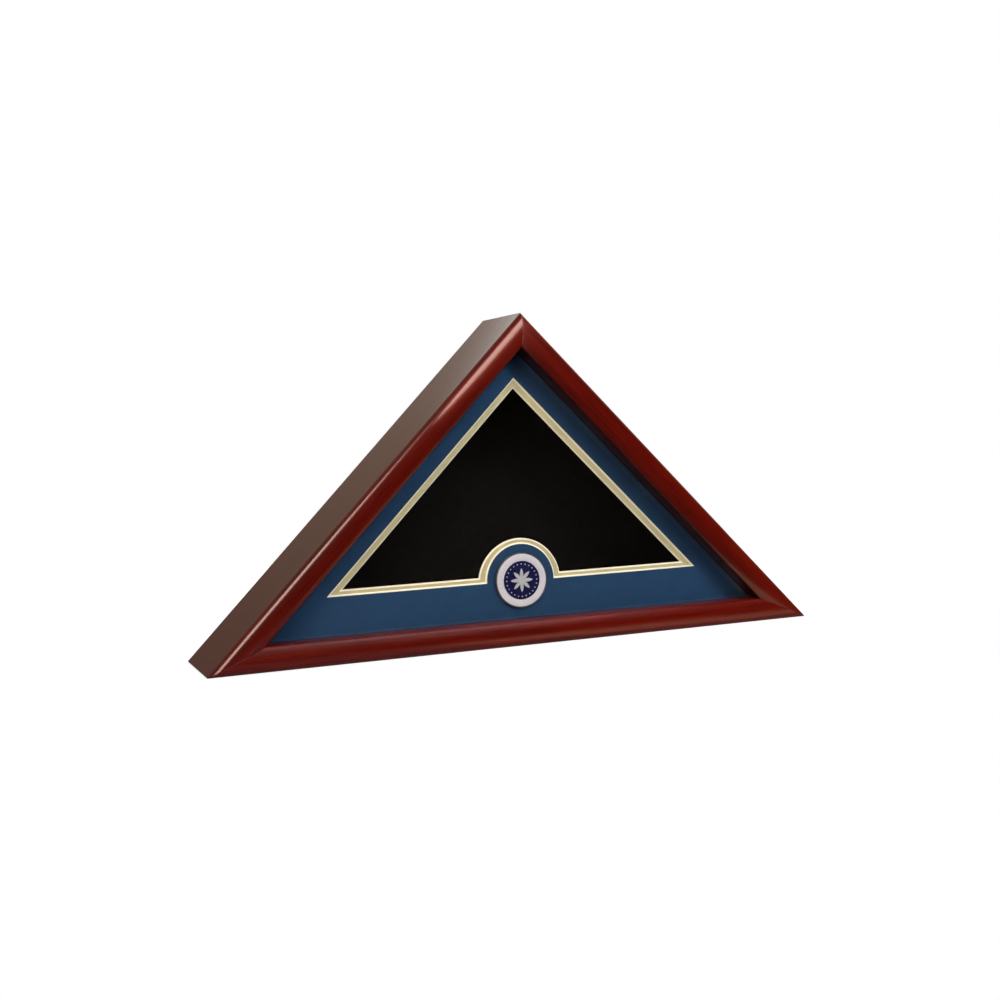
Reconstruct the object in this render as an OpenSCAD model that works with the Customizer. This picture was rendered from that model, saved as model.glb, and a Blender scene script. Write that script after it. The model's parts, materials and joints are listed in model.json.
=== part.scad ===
// Triangular display case for one folded flag. Three mitred hardwood rails carry a glass
// front, a double mat with a medallion, and a back panel held by turn buttons.
// Each side of the triangle has its own local frame: X along the side from its middle,
// Y from the front to the back, Z inwards from the outer face. Depths are measured from
// the crown of the face moulding.

/* [Case] */
// Width along the base
case_w = 650; // [600:5:700]
// Height at the peak
case_h = 330; // [305:5:355]
// Depth of the rails, front to back
case_d = 108; // [98:1:128]

/* [Rails] */
// Thickness of the rail behind the glass
wall_t = 19; // [17.5:0.5:21]
// Width of the face moulding
face_w = 24; // [23:0.5:26]
// Radius of the convex face
face_r = 22; // [20:1:40]
// Distance from the outer side to the crown of the face
face_crown = 10; // [8:0.5:12]
// Radius of the outer front edge
outer_round = 7; // [4:0.5:8]
// Radius of the edge next to the glass
lip_round = 1.5; // [0.8:0.1:2]
// Radius of the outer back edge
back_round = 3.5; // [1:0.5:5]
// Depth of the lip in front of the glass
lip_depth = 23; // [18:1:26]

/* [Glass, spacers and mats] */
// Thickness of the glass
glass_t = 2.2; // [1.8:0.1:3]
// Clearance round the edges of the glass and mats
glaze_gap = 0.5; // [0.2:0.1:1]
// Distance that the spacers keep between the glass and the mats
spacer_t = 4.2; // [3.6:0.1:6]
// Width of a spacer strip
spacer_w = 4; // [3:0.1:4.5]
// Thickness of each mat board
mat_t = 1.5; // [1.2:0.1:2]
// Width of the bevel round each mat opening
mat_bevel = 1.5; // [0.8:0.1:2]

/* [Mat window] */
// Distance from the sloped outer sides to the window in the top mat
window_side = 44.2; // [42:0.2:50]
// Height of the window's bottom edge above the base
window_bottom = 62; // [58:1:68]
// Radius of the round tab in the window's bottom edge
tab_r = 36.6; // [32:0.2:38]
// Height of the middle of the tab above the base
tab_z = 63; // [60:0.2:66]
// Width of the lower mat that shows along the sloped sides
reveal = 6; // [4:0.2:8]
// Width of the lower mat that shows along the bottom
bottom_reveal = 4.4; // [3:0.2:8]
// Width of the lower mat that shows at the sides of the tab
tab_reveal = 7.2; // [5:0.2:9]
// Distance that the lower mat's tab sits below the upper mat's tab
tab_drop = 2.9; // [0:0.1:4]

/* [Stops and brads] */
// Height of a stop above the inner wall
stop_w = 10; // [8:0.5:14]
// Depth of a stop, front to back
stop_d = 10; // [8:0.5:14]
// Radius of a brad
brad_r = 0.6; // [0.5:0.05:0.9]
// Length of a brad
brad_l = 18; // [15:0.5:22]
// Distance between brads on the bottom stop
brad_pitch = 170; // [140:5:200]
// Distance between brads on a side stop
side_brad_pitch = 120; // [100:5:140]

/* [Medallion] */
// Outer radius of the medallion
medal_r = 28; // [26:0.5:30]
// Thickness of the medallion at its rim
medal_t = 2.4; // [2:0.1:2.6]
// Width of the raised rim
medal_rim = 1.4; // [1:0.1:2]
// Outer radius of the middle field
field_r = 19.6; // [18.6:0.2:20.6]
// Width of the raised ring between the field and the white ring
divider_w = 0.9; // [0.6:0.1:1.4]
// Depth of the enamel
enamel_t = 0.9; // [0.6:0.1:1.2]
// Distance that the rim stands above the enamel
enamel_sink = 0.3; // [0.2:0.05:0.5]
// Thickness of the adhesive pad
pad_t = 0.8; // [0.5:0.1:0.9]
// Radius of the adhesive pad
pad_r = 22; // [16:0.5:24]
// Number of petals in the rosette
petals = 8; // [5:1:8]
// Length of a petal, from the middle of the rosette
petal_l = 12.2; // [10:0.1:13]
// Width of a petal
petal_w = 3.6; // [2.5:0.1:4]
// Radius of the rosette's middle
rosette_r = 3.4; // [3:0.1:4]
// Number of beads round the field
beads = 24; // [16:1:30]
// Radius of a bead
bead_r = 0.7; // [0.5:0.05:0.9]
// Distance from the medallion's middle to the beads
bead_ring_r = 16.5; // [15.6:0.1:16.8]

/* [Back panel] */
// Width of the rabbet for the back panel
rabbet_w = 5; // [3:0.5:6]
// Depth of the rabbet for the back panel
rabbet_d = 6; // [5.5:0.1:8]
// Thickness of the back panel
panel_t = 5.3; // [4:0.1:5.3]
// Clearance round the edge of the back panel
panel_gap = 0.5; // [0.3:0.1:1]
// Clearance between the back panel and the rabbet's seat
seat_gap = 0.3; // [0.2:0.05:0.5]
// Thickness of the cloth on the back panel
felt_t = 1; // [0.5:0.1:2]
// Clearance between the cloth and the inner walls
felt_gap = 0.6; // [0.4:0.1:2]

/* [Turn buttons] */
// Distance from a button's pivot to its tip
button_l = 22; // [18:0.5:26]
// Radius of the pivot end
button_r = 5; // [4.5:0.1:5.4]
// Radius of the tip
button_tip_r = 3.4; // [2.5:0.1:4.4]
// Thickness of a button
button_t = 1.5; // [1:0.1:1.8]
// Clearance under and over a button
button_gap = 0.25; // [0.15:0.05:0.3]
// Radius of the pivot screw
pivot_r = 1.75; // [1.4:0.05:2.2]
// Radial clearance round the pivot screw
pivot_gap = 0.06; // [0.03:0.01:0.1]
// Radius of the screw head
pivot_head_r = 3.4; // [3:0.1:4]
// Height of the screw head
pivot_head_h = 1.7; // [1.3:0.1:1.9]
// Length of the pivot screw in the wood
pivot_l = 14; // [10:0.5:20]
// Distance from the outer side of a rail to a pivot
pivot_u = 6.5; // [6:0.1:7.5]
// Distance of the bottom buttons from the middle
bottom_button_x = 150; // [100:5:190]
// Distance of the upper buttons from the peak, along the rail
upper_button_s = 80; // [70:1:95]
// Distance of the lower buttons from the base corner, along the rail
lower_button_s = 120; // [100:5:150]

/* [Hanging rings] */
// Distance from the peak to a ring's pivot, along the rail
hanger_s = 150; // [135:5:180]
// Distance from the outer side of a rail to the middle of a hanger
hanger_u = 7.4; // [7.2:0.05:7.4]
// Radius of the ring's wire
ring_wire_r = 1.1; // [0.9:0.05:1.2]
// Half width of the ring, to the middle of its wire
ring_half_w = 4.8; // [4.5:0.1:4.9]
// Length of the ring's straight legs
ring_leg = 4; // [3:0.5:6]
// Radial clearance of the ring in its strap
ring_gap = 0.08; // [0.04:0.01:0.1]
// Thickness of the strap
strap_t = 0.9; // [0.7:0.05:1]
// Clearance between the strap's loop and the ring's legs
strap_side_gap = 0.3; // [0.2:0.05:0.5]
// Distance from the ring's pivot to the strap's screw
strap_screw_s = 15.5; // [15:0.5:20]
// Radius of the strap's screw
strap_screw_r = 1.5; // [1.2:0.05:1.9]
// Radius of the strap screw's head
strap_head_r = 3; // [2.6:0.1:3.4]
// Height of the strap screw's head
strap_head_h = 1.6; // [1.2:0.1:2]
// Length of the strap's screw in the wood
strap_screw_l = 13; // [10:0.5:18]

/* [Corner nails] */
// Length of a nail's leg
nail_leg = 5.5; // [4:0.5:6]
// Thickness of a nail
nail_t = 0.8; // [0.5:0.1:1]
// Depth that a nail reaches in from the back
nail_d = 10; // [7:0.5:14]
// Distance of the nail from the peak
peak_nail_s = 9; // [9:0.5:11]
// Distance of the nails from the base corners
base_nail_s = 24; // [22:0.5:26]

/* [Hidden] */
$fn = 96;
eps = 1;              // how far a cutter runs past the face that it cuts
bar_over = 10;        // spare length of a bar before its mitres are cut

slope = atan(2 * case_h / case_w);
side_l = norm([case_w / 2, case_h]);
incentre_z = case_w / 2 * tan(slope / 2);

glass_y = lip_depth;
spacer_y = glass_y + glass_t;
top_mat_y = spacer_y + spacer_t;
under_mat_y = top_mat_y + mat_t;
stop_y = under_mat_y + mat_t;
rabbet_y = case_d - rabbet_d;
panel_y = rabbet_y + seat_gap;
button_y = case_d + button_gap;
head_y = button_y + button_t + button_gap;

loop_r = ring_wire_r + ring_gap + strap_t;
loop_w = 2 * (ring_half_w - ring_wire_r - strap_side_gap);
ring_y = case_d + loop_r;
proud = max(2 * loop_r, head_y + pivot_head_h - case_d);
front_y = -(case_d + proud) / 2;

pad_y = top_mat_y - pad_t;
medal_y = pad_y - medal_t;
enamel_y = medal_y + enamel_sink;
ring_in_r = field_r + divider_w;
ring_out_r = medal_r - medal_rim;
relief_root = 0.4;    // how far the relief is drawn into the metal under it
petal_arc_r = (pow(petal_l / 2, 2) + pow(petal_w / 2, 2)) / petal_w;

// The three sides
BOTTOM = 0;
LEFT = 1;
RIGHT = 2;
SIDES = [BOTTOM, LEFT, RIGHT];

mahogany = "#5a1a10";

// Triangle at a distance u inside the outer faces, as [left, right, peak]
function inner_tri(u) = [[-case_w / 2 + u / tan(slope / 2), u],
                         [case_w / 2 - u / tan(slope / 2), u],
                         [0, case_h - u / cos(slope)]];
function length_of(side) = side == BOTTOM ? case_w : side_l;
// Places of the buttons along their side: from the middle, towards the base corner on a sloped side
function button_places(side) =
    side == BOTTOM ? [-bottom_button_x, bottom_button_x]
                   : [upper_button_s - side_l / 2, side_l / 2 - lower_button_s];
function hanger_place() = hanger_s - side_l / 2;
function brad_step(side) = side == BOTTOM ? brad_pitch : side_brad_pitch;

// ---- Placing ----

// Moves depths measured from the crown into the case's own frame
module in_case() { translate([0, front_y, 0]) children(); }

// Puts children drawn in a side's local frame on that side
module at_side(side) {
    if (side == BOTTOM) children();
    if (side == LEFT) translate([-case_w / 4, 0, case_h / 2]) rotate([0, 180 - slope, 0]) children();
    if (side == RIGHT) mirror([1, 0, 0]) at_side(LEFT) children();
}

// Extrudes a shape drawn as [x, height] from depth y to y + t
module slab(y, t) { translate([0, y + t, 0]) rotate([90, 0, 0]) linear_extrude(t) children(); }

// Extrudes a cross-section drawn as [depth, inward] along a side
module bar(length) { rotate([90, 0, 90]) linear_extrude(length, center = true) children(); }

// The third of the case that belongs to one side, bounded by the mitres
module sector(side) {
    corners = [[-case_w / 2, 0], [case_w / 2, 0], [0, case_h]];
    ends = side == BOTTOM ? [corners[0], corners[1]]
         : side == LEFT ? [corners[0], corners[2]] : [corners[1], corners[2]];
    slab(-eps, case_d + 2 * eps) polygon([ends[0], ends[1], [0, incentre_z]]);
}

// A bar of the cross-section in children, mitred at both ends
module mitred(side) {
    intersection() {
        at_side(side) bar(length_of(side) + bar_over) children();
        sector(side);
    }
}

// A round pin that runs inwards across a side, from u to u + l, at depth y
module cross_pin(y, u, l, r) { translate([0, y, u]) cylinder(h = l, r = r); }

// A round pin along the depth, from y to y + l
module deep_pin(y, l, r) { translate([0, y + l, 0]) rotate([90, 0, 0]) cylinder(h = l, r = r); }

// ---- Rails ----

// Waste outside a rounded edge of radius r, whose circle touches the convex face from inside
module edge_waste(r, mid_u, out_u) {
    mid_y = face_r - sqrt(pow(face_r - r, 2) - pow(mid_u - face_crown, 2));
    face_mid = [face_r, face_crown];
    out = ([mid_y, mid_u] - face_mid) / (face_r - r);
    touch = face_mid + out * (face_r + 2 * eps);
    difference() {
        polygon([[mid_y, mid_u], touch, [-2 * eps, out_u], [mid_y, out_u]]);
        translate([mid_y, mid_u]) circle(r);
    }
}

module rail_section() {
    difference() {
        union() {
            square([case_d, wall_t]);
            square([lip_depth, face_w]);
        }
        difference() {
            translate([-eps, -eps]) square([face_r + eps, face_w + 2 * eps]);
            translate([face_r, face_crown]) circle(face_r);
        }
        edge_waste(outer_round, outer_round, -eps);
        edge_waste(lip_round, face_w - lip_round, face_w + eps);
        translate([rabbet_y, wall_t - rabbet_w]) square([rabbet_d + eps, rabbet_w + eps]);
        difference() {
            translate([case_d - back_round, -eps]) square(back_round + eps);
            translate([case_d - back_round, back_round]) circle(back_round);
        }
    }
}

module rail(side) {
    color(mahogany) in_case() difference() {
        mitred(side) rail_section();
        nails(eps);
        at_side(side) brads(side, eps);
        at_side(side) for (x = button_places(side))
            translate([x, 0, pivot_u]) deep_pin(case_d - pivot_l, pivot_l + eps, pivot_r);
        if (side != BOTTOM) at_side(side) translate([hanger_place() + strap_screw_s, 0, hanger_u])
            deep_pin(case_d - strap_screw_l, strap_screw_l + eps, strap_screw_r);
    }
}

// ---- Corner nails ----

// Two thin legs that meet at a right angle on the mitre, the point towards the corner. As a
// cutter it runs past the back by over
module nail(over) {
    slab(case_d - nail_d, nail_d + over) difference() {
        rotate(225) square(nail_leg);
        translate([0, -nail_t * sqrt(2)]) rotate(225) square(nail_leg + eps);
    }
}

module nails(over = 0) {
    translate([0, 0, case_h - peak_nail_s]) nail(over);
    for (turn = [0, 1]) mirror([turn, 0, 0])
        translate([-case_w / 2, 0, 0]) rotate([0, -slope / 2, 0]) translate([base_nail_s, 0, 0])
            rotate([0, -90, 0]) nail(over);
}

module corner_nails() { color("#8d9094") in_case() nails(); }

// ---- Glass, spacers and mats ----

module glass_pane() {
    color("#cfe3e8", 0.3) in_case() slab(glass_y, glass_t) polygon(inner_tri(wall_t + glaze_gap));
}

module spacer(side) {
    color("#141414") in_case() mitred(side)
        translate([spacer_y, wall_t + glaze_gap]) square([spacer_t, spacer_w]);
}

// The space in front of a plane that leans out at the bevel's angle from inset u of one side
module lean(side, u) {
    tilt = atan(mat_bevel / mat_t);
    at_side(side) translate([0, 0, u]) rotate([tilt, 0, 0])
        translate([-case_w, -case_w, 0]) cube([2 * case_w, 2 * case_w, case_w]);
}

// A mat board whose opening is bevelled: side_u and bottom_u place its edges, and r and z its round tab
module mat_board(y, side_u, bottom_u, r, z) {
    difference() {
        slab(y, mat_t) polygon(inner_tri(wall_t + glaze_gap));
        difference() {
            translate([0, y, 0]) intersection() {
                lean(BOTTOM, bottom_u);
                lean(LEFT, side_u);
                lean(RIGHT, side_u);
                slab(-eps, mat_t + 2 * eps) polygon(inner_tri(wall_t));
            }
            translate([0, y + mat_t, z]) rotate([90, 0, 0]) {
                cylinder(h = mat_t, r1 = r + mat_bevel, r2 = r);
                translate([0, 0, -eps]) cylinder(h = eps, r = r + mat_bevel);
                translate([0, 0, mat_t]) cylinder(h = eps, r = r);
            }
        }
    }
}

module top_mat() { color("#24405e") in_case() mat_board(top_mat_y, window_side, window_bottom, tab_r, tab_z); }

module under_mat() {
    color("#b9a870") in_case()
        mat_board(under_mat_y, window_side + reveal, window_bottom + bottom_reveal,
                  tab_r + tab_reveal, tab_z - tab_drop);
}

// ---- Medallion ----

// Draws children round the middle of the tab
module at_tab() { translate([0, 0, tab_z]) children(); }

module medallion_pad() { color("#d9d6cc") in_case() at_tab() slab(pad_y, pad_t) circle(pad_r); }

// A petal: the lens where two circles overlap
module petal() {
    off = petal_arc_r - petal_w / 2;
    intersection() {
        translate([off, petal_l / 2]) circle(petal_arc_r);
        translate([-off, petal_l / 2]) circle(petal_arc_r);
    }
}

// The relief that stands up through the navy enamel
module relief(y, t) {
    slab(y, t) circle(rosette_r);
    for (i = [0 : petals - 1]) slab(y, t) rotate(i * 360 / petals) petal();
    for (i = [0 : beads - 1]) rotate([0, i * 360 / beads, 0])
        slab(y, t) translate([bead_ring_r, 0]) circle(bead_r);
}

module enamel_ring(r_in, r_out) {
    slab(enamel_y, enamel_t) difference() {
        circle(r_out);
        if (r_in > 0) circle(r_in);
    }
}

module medallion_body() {
    color("#b9bcc0") in_case() at_tab() {
        difference() {
            slab(medal_y, medal_t) circle(medal_r);
            slab(medal_y - eps, enamel_sink + enamel_t + eps) difference() {
                circle(ring_out_r);
                circle(ring_in_r);
            }
            slab(medal_y - eps, enamel_sink + enamel_t + eps) circle(field_r);
        }
        relief(enamel_y, enamel_t + relief_root);
    }
}

module medallion_ring() { color("#e8e6ea") in_case() at_tab() enamel_ring(ring_in_r, ring_out_r); }

module medallion_field() {
    color("#14183a") in_case() at_tab() difference() {
        enamel_ring(0, field_r);
        relief(enamel_y - eps, enamel_t + 2 * eps);
    }
}

// ---- Stops ----

// The brads of a side. As cutters they run past the stop's inner face by over
module brads(side, over = 0) {
    for (i = [-1 : 1]) translate([i * brad_step(side), 0, 0])
        cross_pin(stop_y + stop_d / 2, wall_t + stop_w - brad_l, brad_l + over, brad_r);
}

module stop(side) {
    color("#1b1512") in_case() difference() {
        mitred(side) translate([stop_y, wall_t]) square([stop_d, stop_w]);
        at_side(side) brads(side, eps);
    }
}

module stop_brads() { color("#8d9094") in_case() for (side = SIDES) at_side(side) brads(side); }

// ---- Back panel ----

module back_panel() {
    color("#3b2a20") in_case() slab(panel_y, panel_t) polygon(inner_tri(wall_t - rabbet_w + panel_gap));
}

module panel_felt() {
    color("#0c0b0a") in_case() slab(panel_y - felt_t, felt_t) polygon(inner_tri(wall_t + felt_gap));
}

// ---- Turn buttons ----

// A tapered arm between two round ends, with its pivot at the origin
module button_blank() {
    reach = button_l - button_tip_r;
    taper = asin((button_r - button_tip_r) / reach);
    up = [sin(taper), cos(taper)];
    down = [up[0], -up[1]];
    tip = [reach, 0];
    deep_pin(button_y, button_t, button_r);
    translate([reach, 0, 0]) deep_pin(button_y, button_t, button_tip_r);
    slab(button_y, button_t)
        polygon([button_r * up, tip + button_tip_r * up, tip + button_tip_r * down, button_r * down]);
}

// Button number i of a side. Its arm lies along the rail, towards the middle of the side
module button(side, i) {
    x = button_places(side)[i];
    color("#b08d4a") in_case() at_side(side) translate([x, 0, pivot_u]) mirror([x > 0 ? 1 : 0, 0, 0])
        difference() {
            button_blank();
            deep_pin(button_y - eps, button_t + 2 * eps, pivot_r + pivot_gap);
        }
}

module button_screws() {
    color("#a98a4c") in_case() for (side = SIDES) at_side(side) for (x = button_places(side))
        translate([x, 0, pivot_u]) {
            deep_pin(case_d - pivot_l, pivot_l + head_y - case_d, pivot_r);
            deep_pin(head_y, pivot_head_h, pivot_head_r);
        }
}

// ---- Hanging rings ----

// Draws children at both ring pivots, in the local frame of the rail
module at_hanger(side) { at_side(side) translate([hanger_place(), 0, hanger_u]) children(); }

module strap() {
    difference() {
        union() {
            slab(case_d, strap_t) {
                translate([0, -loop_w / 2]) square([strap_screw_s, loop_w]);
                translate([strap_screw_s, 0]) circle(loop_w / 2);
            }
            translate([0, ring_y, -loop_w / 2]) cylinder(h = loop_w, r = loop_r);
        }
        translate([0, ring_y, -loop_w / 2 - eps])
            cylinder(h = loop_w + 2 * eps, r = ring_wire_r + ring_gap);
        translate([strap_screw_s, 0, 0]) deep_pin(case_d - eps, strap_t + 2 * eps, strap_screw_r);
    }
}

module hanger_straps() { color("#a7a9ac") in_case() for (side = [LEFT, RIGHT]) at_hanger(side) strap(); }

module hanger_screws() {
    color("#a7a9ac") in_case() for (side = [LEFT, RIGHT]) at_hanger(side)
        translate([strap_screw_s, 0, 0]) {
            deep_pin(case_d - strap_screw_l, strap_screw_l + strap_t, strap_screw_r);
            deep_pin(case_d + strap_t, strap_head_h, strap_head_r);
        }
}

// A D of round wire: straight bar through the strap's loop, two legs and a half circle
module d_ring(side) {
    color("#b4b6b9") in_case() at_hanger(side) translate([0, ring_y, 0]) {
        translate([0, 0, -ring_half_w]) cylinder(h = 2 * ring_half_w, r = ring_wire_r);
        for (z = [-ring_half_w, ring_half_w]) translate([0, 0, z]) {
            sphere(ring_wire_r);
            rotate([0, 90, 0]) cylinder(h = ring_leg, r = ring_wire_r);
        }
        translate([ring_leg, 0, 0]) rotate([90, 0, 0]) rotate([0, 0, -90])
            rotate_extrude(angle = 180) translate([ring_half_w, 0]) circle(ring_wire_r);
    }
}

rail(LEFT);  // left_rail
rail(RIGHT);  // right_rail
rail(BOTTOM);  // bottom_rail
corner_nails();
glass_pane();
spacer(LEFT);  // left_spacer
spacer(RIGHT);  // right_spacer
spacer(BOTTOM);  // bottom_spacer
top_mat();
under_mat();
medallion_pad();
medallion_body();
medallion_ring();
medallion_field();
stop(LEFT);  // left_stop
stop(RIGHT);  // right_stop
stop(BOTTOM);  // bottom_stop
stop_brads();
back_panel();
panel_felt();
button(BOTTOM, 0);  // bottom_left_button
button(BOTTOM, 1);  // bottom_right_button
button(LEFT, 1);  // left_lower_button
button(LEFT, 0);  // left_upper_button
button(RIGHT, 1);  // right_lower_button
button(RIGHT, 0);  // right_upper_button
button_screws();
hanger_straps();
hanger_screws();
d_ring(LEFT);  // left_d_ring
d_ring(RIGHT);  // right_d_ring
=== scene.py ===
"""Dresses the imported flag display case: polished rails, glass, mats, medallion and hardware."""

import json
import math

import bpy
from mathutils import Matrix, Vector

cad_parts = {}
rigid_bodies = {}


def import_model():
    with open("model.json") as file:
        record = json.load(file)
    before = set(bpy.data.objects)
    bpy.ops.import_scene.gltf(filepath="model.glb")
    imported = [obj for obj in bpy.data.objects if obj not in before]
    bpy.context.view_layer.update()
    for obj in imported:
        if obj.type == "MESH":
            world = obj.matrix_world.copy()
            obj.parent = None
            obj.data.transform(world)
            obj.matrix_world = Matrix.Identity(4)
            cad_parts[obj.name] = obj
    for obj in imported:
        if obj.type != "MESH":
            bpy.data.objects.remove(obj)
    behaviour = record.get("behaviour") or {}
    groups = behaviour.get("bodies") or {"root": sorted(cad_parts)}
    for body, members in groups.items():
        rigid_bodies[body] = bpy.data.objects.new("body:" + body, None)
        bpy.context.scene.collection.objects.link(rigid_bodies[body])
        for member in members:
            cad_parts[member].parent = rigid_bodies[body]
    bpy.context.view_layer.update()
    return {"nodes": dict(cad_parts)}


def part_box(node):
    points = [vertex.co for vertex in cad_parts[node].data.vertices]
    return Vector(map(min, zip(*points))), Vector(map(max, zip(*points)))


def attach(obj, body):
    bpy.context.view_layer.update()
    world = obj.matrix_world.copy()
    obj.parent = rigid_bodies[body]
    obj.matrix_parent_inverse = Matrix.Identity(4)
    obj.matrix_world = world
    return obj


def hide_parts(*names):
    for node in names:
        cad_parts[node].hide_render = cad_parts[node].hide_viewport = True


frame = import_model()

bl_info = {
    "name": "Flag display case",
    "version": (1, 0, 0),
    "blender": (4, 5, 0),
    "location": "View3D > Sidebar > Display case",
    "description": "Builds a triangular hardwood case for a folded flag, piece by piece",
    "category": "Add Mesh",
}

BASE_LOW, BASE_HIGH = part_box("bottom_rail")
WIDTH = BASE_HIGH.x - BASE_LOW.x
DEPTH = BASE_HIGH.y - BASE_LOW.y
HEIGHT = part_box("left_rail")[1].z
FRONT = BASE_LOW.y
SLOPE = math.atan2(HEIGHT, WIDTH / 2)
SIDE_LENGTH = math.hypot(WIDTH / 2, HEIGHT)
SIDES = ("bottom", "left", "right")

# Small edges and reliefs, in metres
MERGE = 1e-6  # points closer than this are one
MITRE_SPARE = 0.005  # length past each mitre before it is cut
COIN_EDGE = 0.0003  # chamfer at the back of the coin and on the enamel
ENAMEL_DROP = 0.0001  # how far the enamel's edge lies below its top
BOSS_BOW = 0.0102  # depth of the boss's dome, from its top to the dome's middle
PETAL_BELOW = 0.00005  # how far a petal's shoulder lies below the enamel's top
PETAL_RIDGE = 0.00018  # height of a petal's ridge over its shoulder
BEAD_BELOW = 0.0003  # how far a bead's middle is set below the enamel's top
REED_HALF, REED_REACH, REED_BELOW = 0.00022, 0.0014, 0.00012
PANEL_EDGE, CLOTH_EDGE = 0.0005, 0.0004
BUTTON_EDGE, STRAP_EDGE, NAIL_EDGE = 0.00035, 0.00012, 0.0001
SCREW_EDGE = 0.0002
STRAP_SCREW_LENGTH = 0.008


# ---- Properties ----


def length(name, about, millimetres):
    return bpy.props.FloatProperty(
        name=name, description=about, default=millimetres / 1000, min=0, precision=5, unit="LENGTH"
    )


def linear(level):
    """A display colour level from 0 to 255 as the light that it stands for."""
    level /= 255
    return level / 12.92 if level <= 0.04045 else ((level + 0.055) / 1.055) ** 2.4


def colour(name, about, *levels):
    shown = [linear(level) for level in levels]
    return bpy.props.FloatVectorProperty(
        name=name, description=about, default=shown, min=0, max=1, size=3, subtype="COLOR"
    )


def amount(name, about, default, most=1.0):
    return bpy.props.FloatProperty(name=name, description=about, default=default, min=0, max=most)


def count(name, about, default, least, most):
    return bpy.props.IntProperty(name=name, description=about, default=default, min=least, max=most)


def power(name, about, default):
    return bpy.props.FloatProperty(name=name, description=about, default=default, unit="POWER")


def angle(name, about, degrees):
    turn = math.radians(degrees)
    return bpy.props.FloatProperty(name=name, description=about, default=turn, subtype="ANGLE")


class RailSizes(bpy.types.PropertyGroup):
    wall: length("Wall", "Thickness of a rail behind the glass", 19)
    face: length("Face", "Width of the face moulding", 24)
    face_radius: length("Face radius", "Radius of the convex face", 22)
    crown: length("Crown", "Distance from the outer side to the crown of the face", 10)
    outer_round: length("Outer round", "Radius of the outer front edge", 7)
    lip_round: length("Lip round", "Radius of the edge next to the glass", 1.5)
    back_round: length("Back round", "Radius of the outer back edge", 3.5)
    lip_depth: length("Lip depth", "Depth of the lip in front of the glass", 23)
    rabbet_width: length("Rabbet width", "Width of the rabbet for the back panel", 5)
    rabbet_depth: length("Rabbet depth", "Depth of the rabbet for the back panel", 6)
    ease: length("Eased edge", "Radius of the sanded edges", 0.5)
    joint: length("Joint", "Chamfer along each mitre", 0.18)
    tip: length("Tip", "Radius of the sanded tips at the base corners", 1.3)


class GlazingSizes(bpy.types.PropertyGroup):
    gap: length("Gap", "Clearance round the glass and the mats", 0.5)
    glass: length("Glass", "Thickness of the glass", 2.2)
    arris: length("Arris", "Ground edge of the glass", 0.25)
    spacer: length("Spacer", "Distance between the glass and the mats", 4.2)
    tab_height: length("Tab height", "Height of the middle of the round tab and the medallion", 63)


class MedallionSizes(bpy.types.PropertyGroup):
    radius: length("Radius", "Outer radius of the medallion", 28)
    thickness: length("Thickness", "Thickness at the rim", 2.4)
    rim: length("Rim", "Width of the raised rim", 1.4)
    field: length("Field", "Radius of the navy field", 19.6)
    divider: length("Divider", "Width of the ring round the field", 0.9)
    sink: length("Sink", "Distance that the rim stands above the enamel", 0.3)
    enamel: length("Enamel", "Depth of the enamel", 0.9)
    pad: length("Pad", "Thickness of the pad behind the medallion", 0.8)
    petal_length: length("Petal length", "Length of a petal", 12.2)
    petal_width: length("Petal width", "Width of a petal", 3.6)
    boss: length("Boss", "Radius of the middle of the rosette", 3.4)
    bead: length("Bead", "Radius of a bead", 0.7)
    bead_ring: length("Bead ring", "Distance from the middle to the beads", 16.5)
    petals: count("Petals", "Number of petals", 8, 3, 12)
    beads: count("Beads", "Number of beads", 24, 6, 48)
    reeds: count("Reeds", "Number of reeds on the white ring", 48, 12, 96)


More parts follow.
